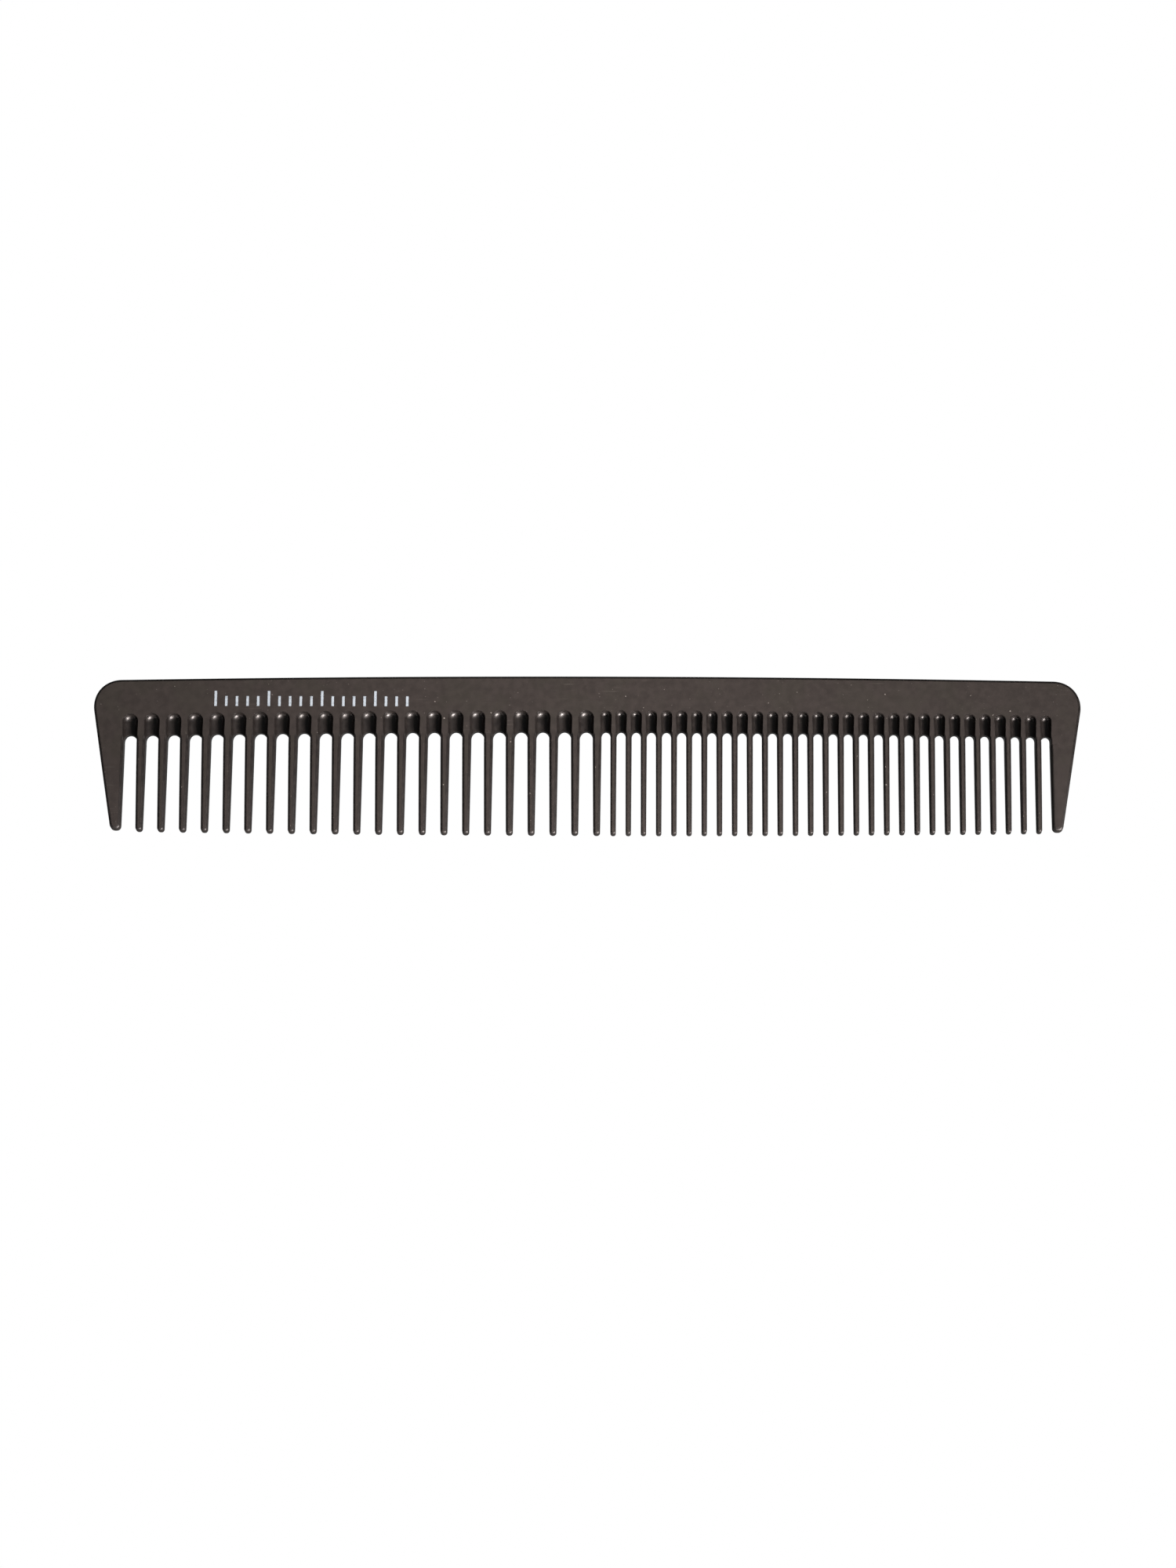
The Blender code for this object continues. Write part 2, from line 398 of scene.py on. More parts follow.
@dataclass(frozen=True)
class SatinPlastic:
    """The flat faces: dark plastic with the fine even grain of an eroded mould."""

    dark: Colour = (0.0175, 0.0142, 0.0127, 1.0)
    light: Colour = (0.0240, 0.0195, 0.0175, 1.0)
    olive: Colour = (0.0200, 0.0185, 0.0140, 1.0)
    dust: Colour = (0.30, 0.28, 0.26, 1.0)
    roughness: float = 0.55
    grain: float = 0.14 * MM
    grain_rise: float = 7.0 * MICRON
    grain_roughness: float = 0.10
    blotch: float = 1.3 * MM
    blotch_step: Step = (0.3, 0.7)
    blotch_roughness: float = 0.12
    blotch_height: float = 0.8
    tint_patch: float = 6.0 * MM
    tint_step: Step = (0.45, 0.65)
    tint: float = 0.4
    scuff_stretch: tuple[float, float, float] = (120.0, 5200.0, 900.0)
    scuff_step: Step = (0.66, 0.74)
    scuff_patch: float = 9.0 * MM
    scuff_patch_step: Step = (0.5, 0.62)
    scuff_cover: float = 0.12
    scuff_polish: float = 0.12
    dust_specks: Specks = Specks(1.8 * MM, 0.13 * MM, 0.36)
    dust_cover: float = 0.65
    dust_height: float = 1.2
    lint_specks: Specks = Specks(0.8 * MM, 0.075 * MM, 0.5)
    lint_cover: float = 0.26
    pit_specks: Specks = Specks(0.9 * MM, 0.07 * MM, 0.3)
    ink_polish: float = 0.1
    ink_height: float = 2.0

    def material(
        self, name: str, printed: PrintedScale | None = None, face_z: float = 0.0
    ) -> bpy.types.Material:
        """Makes the material.

        Args:
            name: The material's name.
            printed: The print on the upper face, if there is one.
            face_z: Height below which nothing is printed.

        Returns:
            The material.
        """
        graph = Graph(name)
        grain = graph.noise(self.grain, roughness=0.6)
        blotch = graph.noise(self.blotch, detail=4.0, roughness=0.6)
        patch = graph.noise(self.tint_patch)
        scuff = graph.noise(1.0, vector=graph.stretched(self.scuff_stretch))
        scuffed_patch = graph.noise(self.scuff_patch, detail=1.0).ramp(*self.scuff_patch_step)
        scuff = scuff.ramp(*self.scuff_step) * scuffed_patch
        dust = graph.scattered(self.dust_specks)
        lint = graph.scattered(self.lint_specks)
        pits = graph.scattered(self.pit_specks)
        colour = graph.mix(blotch.ramp(*self.blotch_step), self.dark, self.light)
        colour = graph.mix(patch.ramp(*self.tint_step) * self.tint, colour, self.olive)
        colour = graph.mix(scuff * self.scuff_cover, colour, self.dust)
        colour = graph.mix(lint * self.lint_cover, colour, self.dust)
        colour = graph.mix(dust * self.dust_cover, colour, self.dust)
        rough = (blotch - 0.5) * self.blotch_roughness + (grain - 0.5) * self.grain_roughness
        rough = rough + self.roughness - scuff * self.scuff_polish
        height = grain + blotch * self.blotch_height + dust * self.dust_height - pits
        if printed:
            inked = printed.mask(graph, face_z)
            colour = graph.mix(inked, colour, printed.ink(graph))
            rough = rough - inked * self.ink_polish
            height = height + inked * self.ink_height
        normal = graph.bump(height, self.grain_rise)
        return graph.dress({"Base Color": colour, "Roughness": rough, "Normal": normal})


@dataclass(frozen=True)
class PolishedShadedPlastic:
    """The scoops, edges and walls: the same plastic from the polished part of the mould, painted darker
    as shade.
    """

    # Both colours are painted darker than the flat faces' plastic, as painted shade on the scoops, edges
    # and walls.
    painted_shade_deep: Colour = (0.0060, 0.0050, 0.0046, 1.0)
    worn: Colour = (0.0100, 0.0082, 0.0074, 1.0)
    roughness: float = 0.42
    tip_wear: float = 0.10
    wear_from: float = 3.0 * MM
    wear_to: float = -11.0 * MM
    ripple: float = 0.26 * MM
    ripple_rise: float = 1.6 * MICRON
    ripple_distortion: float = 1.5
    ripple_detail: float = 1.0
    ripple_detail_scale: float = 2.0
    smear: float = 0.9 * MM
    smear_step: Step = (0.35, 0.7)
    smear_roughness: float = 0.16
    fine: float = 0.2 * MM
    fine_roughness: float = 0.06
    fine_height: float = 0.5

    def material(self, name: str) -> bpy.types.Material:
        """Makes the material under that name."""
        graph = Graph(name)
        smear = graph.noise(self.smear, detail=3.0)
        fine = graph.noise(self.fine)
        worn = graph.axes()[1].ramp(self.wear_from, self.wear_to) * self.tip_wear
        inputs = {
            "Vector": graph.position,
            "Scale": WAVE_PERIOD / self.ripple,
            "Distortion": self.ripple_distortion,
            "Detail": self.ripple_detail,
            "Detail Scale": self.ripple_detail_scale,
        }
        wave = graph.node("ShaderNodeTexWave", {"bands_direction": "Y"}, inputs)
        ripple = Number(graph, wave.outputs["Fac"])
        # The smear varies the tone at random; both of its colours carry the painted shade.
        colour = graph.mix(smear.ramp(*self.smear_step), self.painted_shade_deep, self.worn)
        rough = (smear - 0.5) * self.smear_roughness + (fine - 0.5) * self.fine_roughness
        rough = rough + self.roughness + worn
        normal = graph.bump(ripple + fine * self.fine_height, self.ripple_rise)
        return graph.dress({"Base Color": colour, "Roughness": rough, "Normal": normal})


@dataclass(frozen=True)
class PaleFloor:
    """A sheet of white paper, lit so evenly that it shows no shadow."""

    colour: Colour = (0.0, 0.0, 0.0, 1.0)
    seen_glow: Colour = (1.0, 1.0, 1.0, 1.0)
    cast_glow: Colour = (0.20, 0.20, 0.20, 1.0)

    def material(self, name: str) -> bpy.types.Material:
        """Makes the material under that name."""
        graph = Graph(name)
        seen = graph.node("ShaderNodeLightPath").outputs["Is Camera Ray"]
        glow = graph.mix(seen, self.cast_glow, self.seen_glow)
        values = {"Base Color": self.colour, "Roughness": 1.0, "Specular IOR Level": 0.0}
        return graph.dress({**values, "Emission Color": glow, "Emission Strength": 1.0})


# ---------------------------------------------------------------------------------------------
# Mesh building
# ---------------------------------------------------------------------------------------------


class Surface(Enum):
    """Which part of the mould a face came from; the polished part is painted darker as shade. The value
    is its material index.
    """

    SATIN = 0
    POLISHED = 1


def chosen_edges(
    bm: bmesh.types.BMesh, test: Callable[[bmesh.types.BMVert], bool]
) -> list[bmesh.types.BMEdge]:
    """The edges whose two ends both pass the test."""
    return [edge for edge in bm.edges if all(test(vert) for vert in edge.verts)]


def round_over(
    bm: bmesh.types.BMesh, edges: Sequence[bmesh.types.BMEdge], radius: float, segments: int
) -> None:
    """Rounds edges of a bmesh.

    Args:
        bm: The bmesh.
        edges: The edges to round.
        radius: Set-back of the rounding from each edge.
        segments: Number of facets across it.
    """
    bmesh.ops.bevel(
        bm,
        geom=list(edges),
        offset=radius,
        offset_type="OFFSET",
        segments=segments,
        profile=0.5,
        affect="EDGES",
        material=-1,
        clamp_overlap=True,
    )


def round_by_weight(piece: bpy.types.Object, radius: float, segments: int) -> None:
    """Rounds the weighted edges of a piece for good.

    Args:
        piece: The piece.
        radius: Set-back of the rounding where the weight is 1.
        segments: Number of facets across it.
    """
    rounding = piece.modifiers.new("Rims", "BEVEL")
    rounding.limit_method = "WEIGHT"
    rounding.width = radius
    rounding.segments = segments
    rounding.use_clamp_overlap = False
    apply_modifiers(piece)


def apply_modifiers(piece: bpy.types.Object) -> None:
    """Replaces a piece's mesh by its evaluated one and removes its modifiers."""
    bpy.context.view_layer.update()
    evaluated = piece.evaluated_get(bpy.context.evaluated_depsgraph_get())
    result = bpy.data.meshes.new_from_object(evaluated)
    result.name = piece.name
    piece.modifiers.clear()
    old = piece.data
    piece.data = result
    bpy.data.meshes.remove(old)


def make_object(name: str, bm: bmesh.types.BMesh) -> bpy.types.Object:
    """Turns a bmesh into an object at the origin.

    Args:
        name: The object's name.
        bm: The bmesh, which is freed.

    Returns:
        The object.
    """
    bmesh.ops.recalc_face_normals(bm, faces=bm.faces)
    mesh = bpy.data.meshes.new(name)
    bm.to_mesh(mesh)
    bm.free()
    piece = bpy.data.objects.new(name, mesh)
    bpy.context.scene.collection.objects.link(piece)
    return piece


def cut_away(piece: bpy.types.Object, cutter: bpy.types.Object) -> None:
    """Subtracts a cutter from a piece for good, and removes the cutter.

    Args:
        piece: The piece to cut.
        cutter: What is taken out of it.
    """
    cut = piece.modifiers.new("Cut", "BOOLEAN")
    cut.operation = "DIFFERENCE"
    cut.solver = "EXACT"
    cut.use_self = True
    cut.object = cutter
    apply_modifiers(piece)
    bpy.data.objects.remove(cutter)


def shade(piece: bpy.types.Object, sharp_angle: float) -> None:
    """Shades a piece smooth, keeps its flat faces flat and its crisp edges crisp.

    Args:
        piece: The piece.
        sharp_angle: The angle from which an edge stays crisp.
    """
    piece.data.shade_smooth()
    piece.data.set_sharp_from_angle(angle=sharp_angle)
    weighted = piece.modifiers.new("Flat faces", "WEIGHTED_NORMAL")
    weighted.mode = "FACE_AREA"
    weighted.weight = FLAT_WEIGHT
    weighted.keep_sharp = True


@dataclass
class Upright:
    """A tooth or an end guard as the frame has it: the box of its CAD node."""

    node: str
    low: Vector = field(init=False)
    high: Vector = field(init=False)

    def __post_init__(self) -> None:
        """Reads the box."""
        self.low, self.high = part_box(self.node)

    @property
    def centre_x(self) -> float:
        """X of its middle."""
        return (self.low.x + self.high.x) / 2

    @property
    def width(self) -> float:
        """Width at its root."""
        return self.high.x - self.low.x


class Row(Enum):
    """The rows of teeth, each with the start of its node names, tip width and edge rounding."""

    COARSE = ("coarse", 1.27 * MM, 0.46 * MM)
    FINE = ("fine", 1.01 * MM, 0.33 * MM)

    def __init__(self, label: str, tip_width: float, edge: float) -> None:
        """Names the values."""
        self.label = label
        self.tip_width = tip_width
        self.edge = edge


class End(Enum):
    """The ends of the comb, each with the row beside it and its side along X."""

    COARSE = (Row.COARSE, -1)
    FINE = (Row.FINE, 1)

    def __init__(self, row: Row, side: int) -> None:
        """Names the values."""
        self.row = row
        self.side = side


@dataclass
class Layout:
    """Where everything lies, worked out from the frame."""

    uprights: list[Upright] = field(init=False)
    spine_low: Vector = field(init=False)
    spine_high: Vector = field(init=False)
    cut_y: float = field(init=False)

    def __post_init__(self) -> None:
        """Measures the frame."""
        self.spine_low, self.spine_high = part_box("spine")
        nodes = [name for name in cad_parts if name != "spine"]
        self.uprights = sorted((Upright(name) for name in nodes), key=lambda u: u.centre_x)
        self.cut_y = (self.spine_low.y + self.uprights[0].high.y) / 2

    @property
    def thickness(self) -> float:
        """Thickness of the spine."""
        return self.spine_high.z - self.spine_low.z

    @property
    def middle_z(self) -> float:
        """Height of the plane halfway through the comb."""
        return (self.spine_high.z + self.spine_low.z) / 2

    def gaps(self) -> list[tuple[float, float]]:
        """The gaps between the uprights, as (centre, half width)."""
        pairs = zip(self.uprights, self.uprights[1:])
        return [((a.high.x + b.low.x) / 2, (b.low.x - a.high.x) / 2) for a, b in pairs]


@dataclass
class EndLine:
    """The straight leaning edge of an end, on the +X side."""

    tip: Vector
    root: Vector

    @classmethod
    def of(cls, layout: Layout, tip_width: float, lean: float) -> "EndLine":
        """Finds the line of the frame's ends.

        Args:
            layout: The frame's layout.
            tip_width: Width of a guard at its tip.
            lean: How far a guard's inner side leans in.

        Returns:
            The line.
        """
        guard = layout.uprights[-1]
        tip = Vector((guard.low.x + lean + tip_width, guard.low.y))
        return cls(tip, Vector((guard.high.x, guard.high.y)))

    @property
    def slope(self) -> float:
        """How far X moves for each step of Y."""
        return (self.root.x - self.tip.x) / (self.root.y - self.tip.y)

    def x_at(self, y: float) -> float:
        """X of the line at a given Y."""
        return self.tip.x + (y - self.tip.y) * self.slope


class Piece:
    """A finished piece that stands for one CAD node."""

    node: str
    slot: str
    sharp_angle: float = math.radians(34)
    flat_cosine: float = 0.985

    def build(self) -> bpy.types.Object:
        """Models the piece."""
        raise NotImplementedError

    def is_satin(self, face: bpy.types.MeshPolygon) -> bool:
        """Whether a face is one of the flat grained ones."""
        return abs(face.normal.z) > self.flat_cosine

    def finish(self, finishes: Sequence[bpy.types.Material]) -> bpy.types.Object:
        """Models, dresses and hangs the piece in the frame.

        Args:
            finishes: The materials, in the order of Surface.

        Returns:
            The piece.
        """
        piece = self.build()
        piece.data.materials.clear()
        for material in finishes:
            piece.data.materials.append(material)
        for face in piece.data.polygons:
            # Faces that are not flat take the polished material, whose darker colour is painted shade.
            surface = Surface.SATIN if self.is_satin(face) else Surface.POLISHED
            face.material_index = surface.value
        shade(piece, self.sharp_angle)
        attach(piece, BODY)
        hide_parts(self.node)
        log.info("%s: %d faces", piece.name, len(piece.data.polygons))
        return piece


def tapered_bar(
    root: tuple[float, float],
    tip: tuple[float, float],
    span: tuple[float, float],
    depths: tuple[float, float],
) -> bmesh.types.BMesh:
    """A bar that runs down -Y, centred on z = 0, and thins in a curve.

    Args:
        root: Lowest and highest X at its root.
        tip: Lowest and highest X at its tip.
        span: Y of the root and of the tip.
        depths: Thickness at the root and at the tip.

    Returns:
        The bar.
    """
    bm = bmesh.new()
    bmesh.ops.create_cube(bm, size=1.0)
    along = [e for e in bm.edges if abs(e.verts[0].co.y - e.verts[1].co.y) > 0.5]
    bmesh.ops.subdivide_edges(bm, edges=along, cuts=LENGTH_CUTS, use_grid_fill=True)
    for vert in bm.verts:
        share = 0.5 - vert.co.y
        low = root[0] + (tip[0] - root[0]) * share
        high = root[1] + (tip[1] - root[1]) * share
        depth = depths[0] + (depths[1] - depths[0]) * share**2
        vert.co.x = high if vert.co.x > 0 else low
        vert.co.y = span[0] + (span[1] - span[0]) * share
        vert.co.z = math.copysign(depth / 2, vert.co.z)
    return bm


def is_upright(edge: bmesh.types.BMEdge) -> bool:
    """Whether an edge joins the lower half of a bar to its upper half."""
    return edge.verts[0].co.z * edge.verts[1].co.z < 0


def tip_corners(bm: bmesh.types.BMesh, tip_y: float) -> list[bmesh.types.BMEdge]:
    """The two upright edges at a bar's tip."""
    at_tip = chosen_edges(bm, lambda vert: vert.co.y < tip_y + END_BAND)
    return [edge for edge in at_tip if is_upright(edge)]


def rims(bm: bmesh.types.BMesh, root_y: float) -> list[bmesh.types.BMEdge]:
    """The edges that run round a bar's two flat faces, without those at its root."""
    folds = [e for e in bm.edges if not is_upright(e) and e.calc_face_angle(0.0) > FOLD_ANGLE]
    return [edge for edge in folds if any(v.co.y < root_y - END_BAND for v in edge.verts)]


@dataclass
class Tooth(Piece):
    """One tooth: a bar that thins towards a rounded tip, with all its long edges rounded."""

    upright: Upright
    row: Row
    layout: Layout
    tip_thickness: float = 2.4 * MM
    tip_round_share: float = 0.44
    tip_segments: int = 6
    edge_segments: int = 4

    def __post_init__(self) -> None:
        """Takes its names from its CAD node."""
        self.node = self.upright.node
        self.slot = f"{self.row.label}_teeth"

    def build(self) -> bpy.types.Object:
        """Models the tooth from the middle of its seam to its tip."""
        centre, half = self.upright.centre_x, self.upright.width / 2
        half_tip = self.row.tip_width / 2
        bm = tapered_bar(
            (centre - half, centre + half),
            (centre - half_tip, centre + half_tip),
            (self.layout.cut_y, self.upright.low.y),
            (self.layout.thickness, self.tip_thickness),
        )
        corners = tip_corners(bm, self.upright.low.y)
        round_over(bm, corners, self.tip_round_share * self.row.tip_width, self.tip_segments)
        round_over(bm, rims(bm, self.layout.cut_y), self.row.edge, self.edge_segments)
        bmesh.ops.translate(bm, verts=bm.verts, vec=(0.0, 0.0, self.layout.middle_z))
        return make_object(f"{self.node}_moulded", bm)


@dataclass
class EndGuard(Piece):
    """The wide last tooth at an end, whose outer side carries on the spine's leaning end."""

    end: End
    layout: Layout
    line: EndLine
    lean: float
    outer_edge: float
    tip_thickness: float = 2.4 * MM
    tip_round: float = 0.80 * MM
    tip_segments: int = 6
    edge_segments: int = 4

    def __post_init__(self) -> None:
        """Takes its names from its end."""
        self.node = f"{self.end.row.label}_end_guard"
        self.slot = "end_guards"

    def build(self) -> bpy.types.Object:
        """Models the guard on the +X side, and mirrors it for the other."""
        guard = self.layout.uprights[-1]
        root_y = self.layout.cut_y
        bm = tapered_bar(
            (guard.low.x, self.line.x_at(root_y)),
            (guard.low.x + self.lean, self.line.tip.x),
            (root_y, guard.low.y),
            (self.layout.thickness, self.tip_thickness),
        )
        round_over(bm, tip_corners(bm, guard.low.y), self.tip_round, self.tip_segments)
        weight = bm.edges.layers.float.new("bevel_weight_edge")
        inner_share = Row.COARSE.edge / self.outer_edge
        for edge in rims(bm, root_y):
            x = (edge.verts[0].co.x + edge.verts[1].co.x) / 2
            across = (x - guard.low.x - self.lean) / (self.line.tip.x - guard.low.x - self.lean)
            edge[weight] = inner_share + (1 - inner_share) * min(max(across, 0.0), 1.0)
        if self.end.side < 0:
            bmesh.ops.scale(bm, verts=bm.verts, vec=(-1.0, 1.0, 1.0))
        bmesh.ops.translate(bm, verts=bm.verts, vec=(0.0, 0.0, self.layout.middle_z))
        piece = make_object(f"{self.node}_moulded", bm)
        round_by_weight(piece, self.outer_edge, self.edge_segments)
        return piece


@dataclass
class Spine(Piece):
    """The bar along the back, with the round tops of the gaps and the scoops above them."""

    layout: Layout
    line: EndLine
    back_bow: float = 0.80 * MM
    corner_radius: float = 5.2 * MM
    corner_segments: int = 28
    back_segments: int = 64
    outer_edge: float = 0.48 * MM
    edge_segments: int = 4
    gap_top: float = 10.42 * MM
    gap_top_bow: float = 0.87 * MM
    scoop_length: float = 3.75 * MM
    scoop_flare: float = 0.16 * MM
    scoop_lip: float = 0.09 * MM
    scoop_squareness: float = 2.3
    root_web: float = 1.1 * MM
    ball_segments: int = 14
    wall_points: int = 9
    lip_segments: int = 2
    weld: float = 0.2 * MICRON
    coarse_share: float = 0.9  # of the widest gap, from which a gap is in the coarse row
    satin_depth: float = 0.01 * MM

    def __post_init__(self) -> None:
        """Takes its names from its CAD node."""
        self.node = "spine"
        self.slot = "spine"

    @property
    def half_field(self) -> float:
        """X of the innermost side of the right-hand guard."""
        return self.layout.uprights[-1].low.x

    @property
    def scoop_depth(self) -> float:
        """Depth of a scoop at its middle."""
        return (self.layout.thickness - self.root_web) / 2

    def gap_edge(self, half: float) -> float:
        """Radius of the rounded edges of a gap of that half width."""
        widest = max(width for _, width in self.layout.gaps())
        return Row.COARSE.edge if half > self.coarse_share * widest else Row.FINE.edge

    def scoop_foot(self, half: float) -> float:
        """Half width of a scoop at the seam, where its wall meets the gap's rounded edge."""
        power = self.scoop_squareness
        return half * (1 - (self.gap_edge(half) / self.scoop_depth) ** power) ** (-1 / power)

    def gap_top_y(self, x: float) -> float:
        """Y of the top of a gap centred on x."""
        drop = self.gap_top_bow * (x / self.half_field) ** 2
        return self.layout.spine_high.y - self.gap_top - drop

    def is_satin(self, face: bpy.types.MeshPolygon) -> bool:
        """Whether a face lies in one of the two flat sides."""
        z = face.center.z
        depth = min(abs(z - self.layout.spine_low.z), abs(z - self.layout.spine_high.z))
        return depth < self.satin_depth and abs(face.normal.z) > self.flat_cosine

    def blank(self) -> bmesh.types.BMesh:
        """The spine before its gaps: a bar with leaning ends, round corners and a bowed back."""
        low, high = self.layout.spine_low, self.layout.spine_high
        reach = high.x - self.corner_radius
        shoulder_y = high.y - self.back_bow * (reach / self.half_field) ** 2
        bm = bmesh.new()
        bmesh.ops.create_cube(bm, size=1.0)
        for vert in bm.verts:
            vert.co.y = shoulder_y if vert.co.y > 0 else self.layout.cut_y
            vert.co.x = math.copysign(self.line.x_at(vert.co.y), vert.co.x)
            vert.co.z = high.z if vert.co.z > 0 else low.z
        turn = math.pi / 2 + math.atan(self.line.slope)
        middle_y = (self.layout.cut_y + shoulder_y) / 2
        corners = [
            e
            for e in chosen_edges(bm, lambda v: v.co.y > middle_y)
            if abs(e.verts[0].co.z - e.verts[1].co.z) > self.layout.thickness / 2
        ]
        set_back = self.corner_radius * math.tan(turn / 2)
        round_over(bm, corners, set_back, self.corner_segments)
        back = [
            e
            for e in chosen_edges(bm, lambda v: v.co.y > shoulder_y - MICRON)
            if e.calc_length() > self.half_field
        ]
        bmesh.ops.subdivide_edges(bm, edges=back, cuts=self.back_segments - 1, use_grid_fill=True)
        along_back = [v for v in bm.verts if v.co.y > shoulder_y - MICRON]
        straight = max(v.co.x for v in along_back)
        rise = high.y - shoulder_y
        for vert in along_back:
            vert.co.y += rise * max(0.0, 1 - (vert.co.x / straight) ** 2)
        outline = [
            e
            for e in bm.edges
            if abs(e.verts[0].co.z - e.verts[1].co.z) < MICRON
            and abs(e.calc_face_angle(0.0) - math.pi / 2) < RIGHT_ANGLE_SLACK
            and any(v.co.y > self.layout.cut_y + MICRON for v in e.verts)
        ]
        round_over(bm, outline, self.outer_edge, self.edge_segments)
        return bm

    def trench(
        self, wall: Sequence[Vector], radius: float, top: float, centre: float, foot: float
    ) -> bmesh.types.BMesh:
        """A round-ended trench, open towards -Y.

        Args:
            wall: Its section from the axis outwards and back to the axis, as (distance, height).
            radius: Radius of its round end, without the rounding of its edges.
            top: Y of its round end.
            centre: X of its middle.
            foot: Its width at the seam with the teeth, as a share of its width at the round end.

        Returns:
            The solid that cuts the trench.
        """
        bm = bmesh.new()
        axis = Vector((centre, top - radius, 0.0))
        verts = [bm.verts.new((centre + p.x, axis.y, p.y)) for p in wall]
        edges = [bm.edges.new(pair) for pair in zip(verts, verts[1:])]
        bmesh.ops.spin(
            bm,
            geom=verts + edges,
            cent=axis,
            axis=(0.0, 0.0, 1.0),
            angle=math.pi,
            steps=self.ball_segments,
            use_merge=False,
        )
        bmesh.ops.remove_doubles(bm, verts=bm.verts, dist=self.weld)
        rim = [e for e in bm.edges if e.is_boundary]
        bottom = self.layout.cut_y - CUT_MARGIN
        grown = bmesh.ops.extrude_edge_only(bm, edges=rim)["geom"]
        ends = [item for item in grown if isinstance(item, bmesh.types.BMVert)]
        bmesh.ops.translate(bm, verts=ends, vec=(0.0, bottom - axis.y, 0.0))
        past_seam = (axis.y - bottom) / (axis.y - self.layout.cut_y)
        for vert in ends:
            vert.co.x = centre + (vert.co.x - centre) * (1 + (foot - 1) * past_seam)
        bmesh.ops.holes_fill(bm, edges=[e for e in bm.edges if e.is_boundary])
        bmesh.ops.recalc_face_normals(bm, faces=bm.faces)
        return bm

    def scoop_wall(self, half: float) -> list[Vector]:
        """A scoop's section: a rounded hollow with a small rounded lip at the surface.

        Args:
            half: Half the width of the scoop.

        Returns:
            Points as (distance from the axis, height over the surface).
        """
        depth = self.scoop_depth
        power = self.scoop_squareness
        points = []
        for k in range(self.wall_points + 1):
            angle = math.pi / 2 * k / self.wall_points
            out = half * math.sin(angle) ** (2 / power)
            down = depth * math.cos(angle) ** (2 / power)
            if down > self.scoop_lip or k == 0:
                points.append(Vector((out, -down)))
        lip = self.scoop_lip
        for k in range(self.lip_segments + 1):
            angle = math.pi / 2 * k / self.lip_segments
            out = half + lip * (1 - math.cos(angle))
            points.append(Vector((out, -lip * (1 - math.sin(angle)))))
        points.append(Vector((half + lip, CUT_MARGIN)))
        points.append(Vector((0.0, CUT_MARGIN)))
        return points

    def gap_wall(self, half: float, edge: float) -> list[Vector]:
        """A gap's section through the whole comb, with both of its edges rounded.

        Args:
            half: Half the width of the gap.
            edge: Radius of its rounded edges.

        Returns:
            Points as (distance from the axis, height over the middle).
        """
        reach = self.layout.thickness / 2
        upper = []
        for k in range(self.edge_segments + 1):
            angle = math.pi / 2 * k / self.edge_segments
            out = half + edge * (1 - math.cos(angle))
            upper.append(Vector((out, reach - edge * (1 - math.sin(angle)))))
        upper.append(Vector((half + edge, reach + CUT_MARGIN)))
        upper.append(Vector((0.0, reach + CUT_MARGIN)))
        lower = [Vector((point.x, -point.y)) for point in reversed(upper)]
        return lower + upper

    def gather(self, name: str, solids: Iterable[bmesh.types.BMesh]) -> bpy.types.Object:
        """Joins several cutters into one object."""
        joined = bmesh.new()
        for solid in solids:
            mesh = bpy.data.meshes.new(name)
            solid.to_mesh(mesh)
            solid.free()
            joined.from_mesh(mesh)
            bpy.data.meshes.remove(mesh)
        return make_object(name, joined)

    def gap_cutters(self) -> Iterable[bmesh.types.BMesh]:
        """One cutter for each gap."""
        for centre, half in self.layout.gaps():
            wall = self.gap_wall(half, self.gap_edge(half))
            solid = self.trench(wall, half, self.gap_top_y(centre), centre, 1.0)
            bmesh.ops.translate(solid, verts=solid.verts, vec=(0.0, 0.0, self.layout.middle_z))
            yield solid

    def scoop_cutters(self) -> Iterable[bmesh.types.BMesh]:
        """One cutter for each scoop, on both faces."""
        for centre, half in self.layout.gaps():
            wide = half + self.scoop_flare
            top = self.gap_top_y(centre) + self.scoop_length
            foot = self.scoop_foot(half) / wide
            for turned in (1.0, -1.0):
                solid = self.trench(self.scoop_wall(wide), wide, top, centre, foot)
                bmesh.ops.scale(solid, verts=solid.verts, vec=(1.0, 1.0, turned))
                surface = self.layout.middle_z + turned * self.layout.thickness / 2
                bmesh.ops.translate(solid, verts=solid.verts, vec=(0.0, 0.0, surface))
                yield solid

    def build(self) -> bpy.types.Object:
        """Models the spine."""
        piece = make_object("spine_moulded", self.blank())
        cut_away(piece, self.gather("gap_cutters", self.gap_cutters()))
        cut_away(piece, self.gather("scoop_cutters", self.scoop_cutters()))
        return piece


# ---------------------------------------------------------------------------------------------
# Studio
# ---------------------------------------------------------------------------------------------


@dataclass(frozen=True)
class SoftBox:
    """One soft light, aimed at a point, with a grid that narrows its beam."""

    place: tuple[float, float, float]
    target: tuple[float, float, float]
    size: float
    power: float
    spread: float
    colour: tuple[float, float, float]

    def build(self, name: str) -> None:
        """Hangs the light under that name."""
        data = bpy.data.lights.new(name, "AREA")
        data.shape = "DISK"
        data.size = self.size
        data.energy = self.power
        data.spread = self.spread
        data.color = self.colour
        light = bpy.data.objects.new(name, data)
        light.location = self.place
        aim = Vector(self.target) - Vector(self.place)
        light.rotation_euler = aim.to_track_quat("-Z", "Y").to_euler()
        bpy.context.scene.collection.objects.link(light)


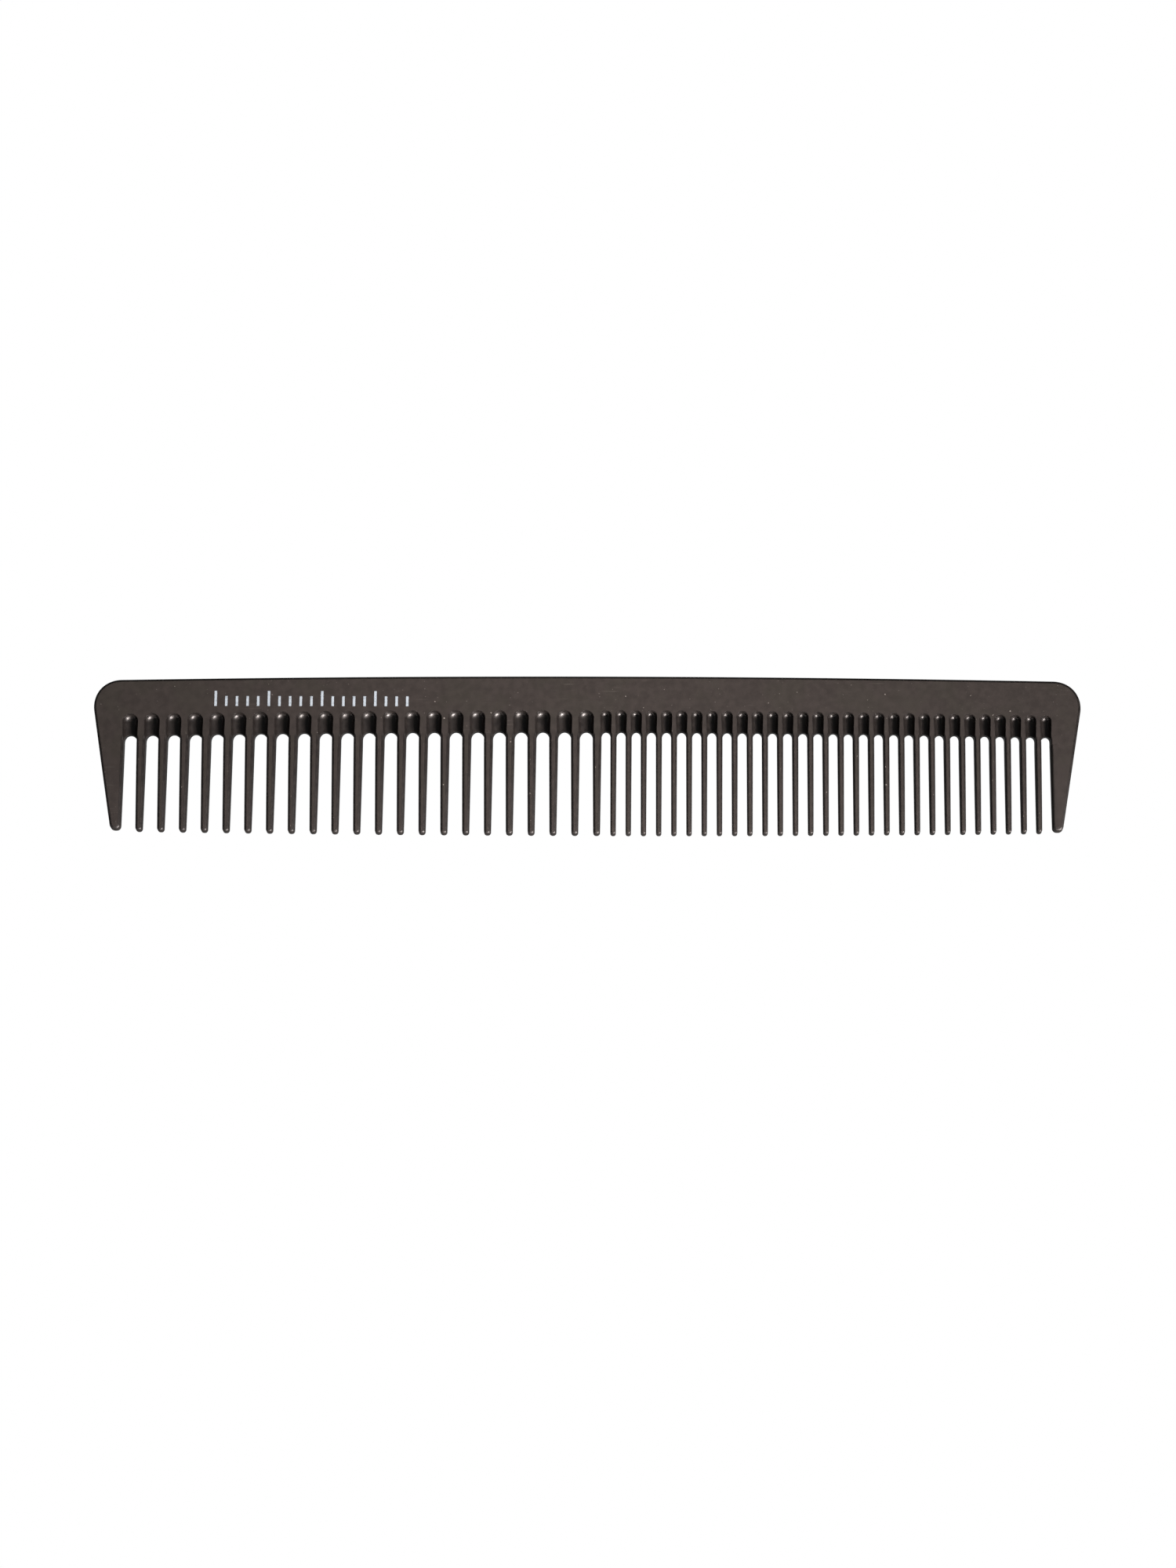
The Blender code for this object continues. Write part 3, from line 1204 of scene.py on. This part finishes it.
@dataclass(frozen=True)
class Studio:
    """The pale floor, the soft light, the dim room and the camera."""

    floor_size: float = 6.0
    floor_cells: int = 4
    floor_drop: float = 0.05 * MM
    room_low: float = 0.04
    room_high: float = 0.15
    backdrop: float = 1.0
    eye: tuple[float, float, float] = (0.015534, -0.194394, 0.826472)
    look: tuple[float, float, float] = (-0.01791, 0.22345, -0.97455)
    picture_right: tuple[float, float, float] = (0.99984, 0.00388, -0.01748)
    roll: float = 0.0023
    lens: float = 138.49
    film_width: float = 36.0
    clip_start: float = 0.01
    clip_end: float = 100.0
    key: SoftBox = SoftBox(
        place=(0.44, -0.55, 0.38),
        target=(0.006, 0.0, 0.0),
        size=0.28,
        power=1.0,
        spread=math.radians(25),
        colour=(1.0, 0.90, 0.865),
    )

    def build_floor(self) -> None:
        """Lays the floor."""
        bm = bmesh.new()
        cells = self.floor_cells
        bmesh.ops.create_grid(bm, x_segments=cells, y_segments=cells, size=self.floor_size / 2)
        bmesh.ops.translate(bm, verts=bm.verts, vec=(0.0, 0.0, -self.floor_drop))
        mesh = bpy.data.meshes.new("floor")
        bm.to_mesh(mesh)
        bm.free()
        mesh.materials.append(PaleFloor().material("paper_floor"))
        floor = bpy.data.objects.new("floor", mesh)
        bpy.context.scene.collection.objects.link(floor)
        floor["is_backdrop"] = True

    def build_room(self) -> None:
        """Makes the room: pale where it is seen directly, and dim in reflections."""
        world = bpy.data.worlds.new("room")
        tree = NodeTree(world)
        direction = tree.node("ShaderNodeTexCoord").outputs["Generated"]
        split = tree.node("ShaderNodeSeparateXYZ", {}, {"Vector": direction})
        inputs = {"Value": split.outputs["Z"], "To Min": self.room_low, "To Max": self.room_high}
        height = tree.node("ShaderNodeMapRange", {}, inputs)
        dim = tree.node("ShaderNodeBackground", {}, {"Strength": height.outputs["Result"]})
        pale = (self.backdrop, self.backdrop, self.backdrop, 1.0)
        seen = tree.node("ShaderNodeBackground", {}, {"Color": pale})
        is_camera = tree.node("ShaderNodeLightPath").outputs["Is Camera Ray"]
        inputs = {"Fac": is_camera, 1: dim.outputs[0], 2: seen.outputs[0]}
        blend = tree.node("ShaderNodeMixShader", {}, inputs)
        tree.node("ShaderNodeOutputWorld", {}, {"Surface": blend.outputs[0]})
        bpy.context.scene.world = world

    def build_camera(self) -> None:
        """Sets up the camera."""
        data = bpy.data.cameras.new("camera")
        data.sensor_fit = "HORIZONTAL"
        data.sensor_width = self.film_width
        data.lens = self.lens
        data.clip_start = self.clip_start
        data.clip_end = self.clip_end
        camera = bpy.data.objects.new("camera", data)
        back = -Vector(self.look).normalized()
        right = Vector(self.picture_right).normalized()
        up = back.cross(right).normalized()
        right = up.cross(back).normalized()
        turned = Matrix((right, up, back)).transposed() @ Matrix.Rotation(self.roll, 3, "Z")
        camera.matrix_world = Matrix.Translation(Vector(self.eye)) @ turned.to_4x4()
        bpy.context.scene.collection.objects.link(camera)
        bpy.context.scene.camera = camera

    def build(self) -> None:
        """Builds the whole studio."""
        self.build_floor()
        self.build_room()
        self.build_camera()
        self.key.build("key")
        bpy.context.scene.view_settings.view_transform = "Standard"


@dataclass
class Comb:
    """The whole comb."""

    layout: Layout = field(default_factory=Layout)
    guard_tip_width: float = 1.90 * MM
    guard_lean: float = 0.17 * MM
    satin: SatinPlastic = SatinPlastic()
    # The polished finish, its colour painted darker as shade.
    polished_shaded: PolishedShadedPlastic = PolishedShadedPlastic()
    printed: PrintedScale = PrintedScale()

    def build(self) -> list[bpy.types.Object]:
        """Builds every piece.

        Returns:
            The pieces, spine first.
        """
        line = EndLine.of(self.layout, self.guard_tip_width, self.guard_lean)
        # Polished material: real gloss, with painted shade in its darker colour.
        polished_shaded = self.polished_shaded.material("polished_shaded_plastic")
        satin = self.satin.material("satin_plastic")
        marked = self.satin.material("printed_satin_plastic", self.printed, self.layout.middle_z)
        spine = Spine(self.layout, line)
        pieces = [spine.finish([marked, polished_shaded])]
        for end in End:
            guard = EndGuard(end, self.layout, line, self.guard_lean, spine.outer_edge)
            pieces.append(guard.finish([satin, polished_shaded]))
        for upright in self.layout.uprights[1:-1]:
            row = Row.COARSE if upright.node.startswith(Row.COARSE.label) else Row.FINE
            pieces.append(Tooth(upright, row, self.layout).finish([satin, polished_shaded]))
        return pieces


def write_sizes() -> None:
    """Sets the CAD box and the finished model's box side by side as plain lists, which are not written
    out.
    """
    boxes = {"cad": CAD_BOX, "visual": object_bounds()}
    plain = {name: [[float(value) for value in corner] for corner in box] for name, box in boxes.items()}


def main() -> None:
    """Builds the comb and its studio."""
    logging.basicConfig(level=logging.INFO, format="%(name)s %(message)s")
    pieces = Comb().build()
    Studio().build()
    log.info("%d pieces", len(pieces))
    write_sizes()


if __name__ == "__main__":
    main()
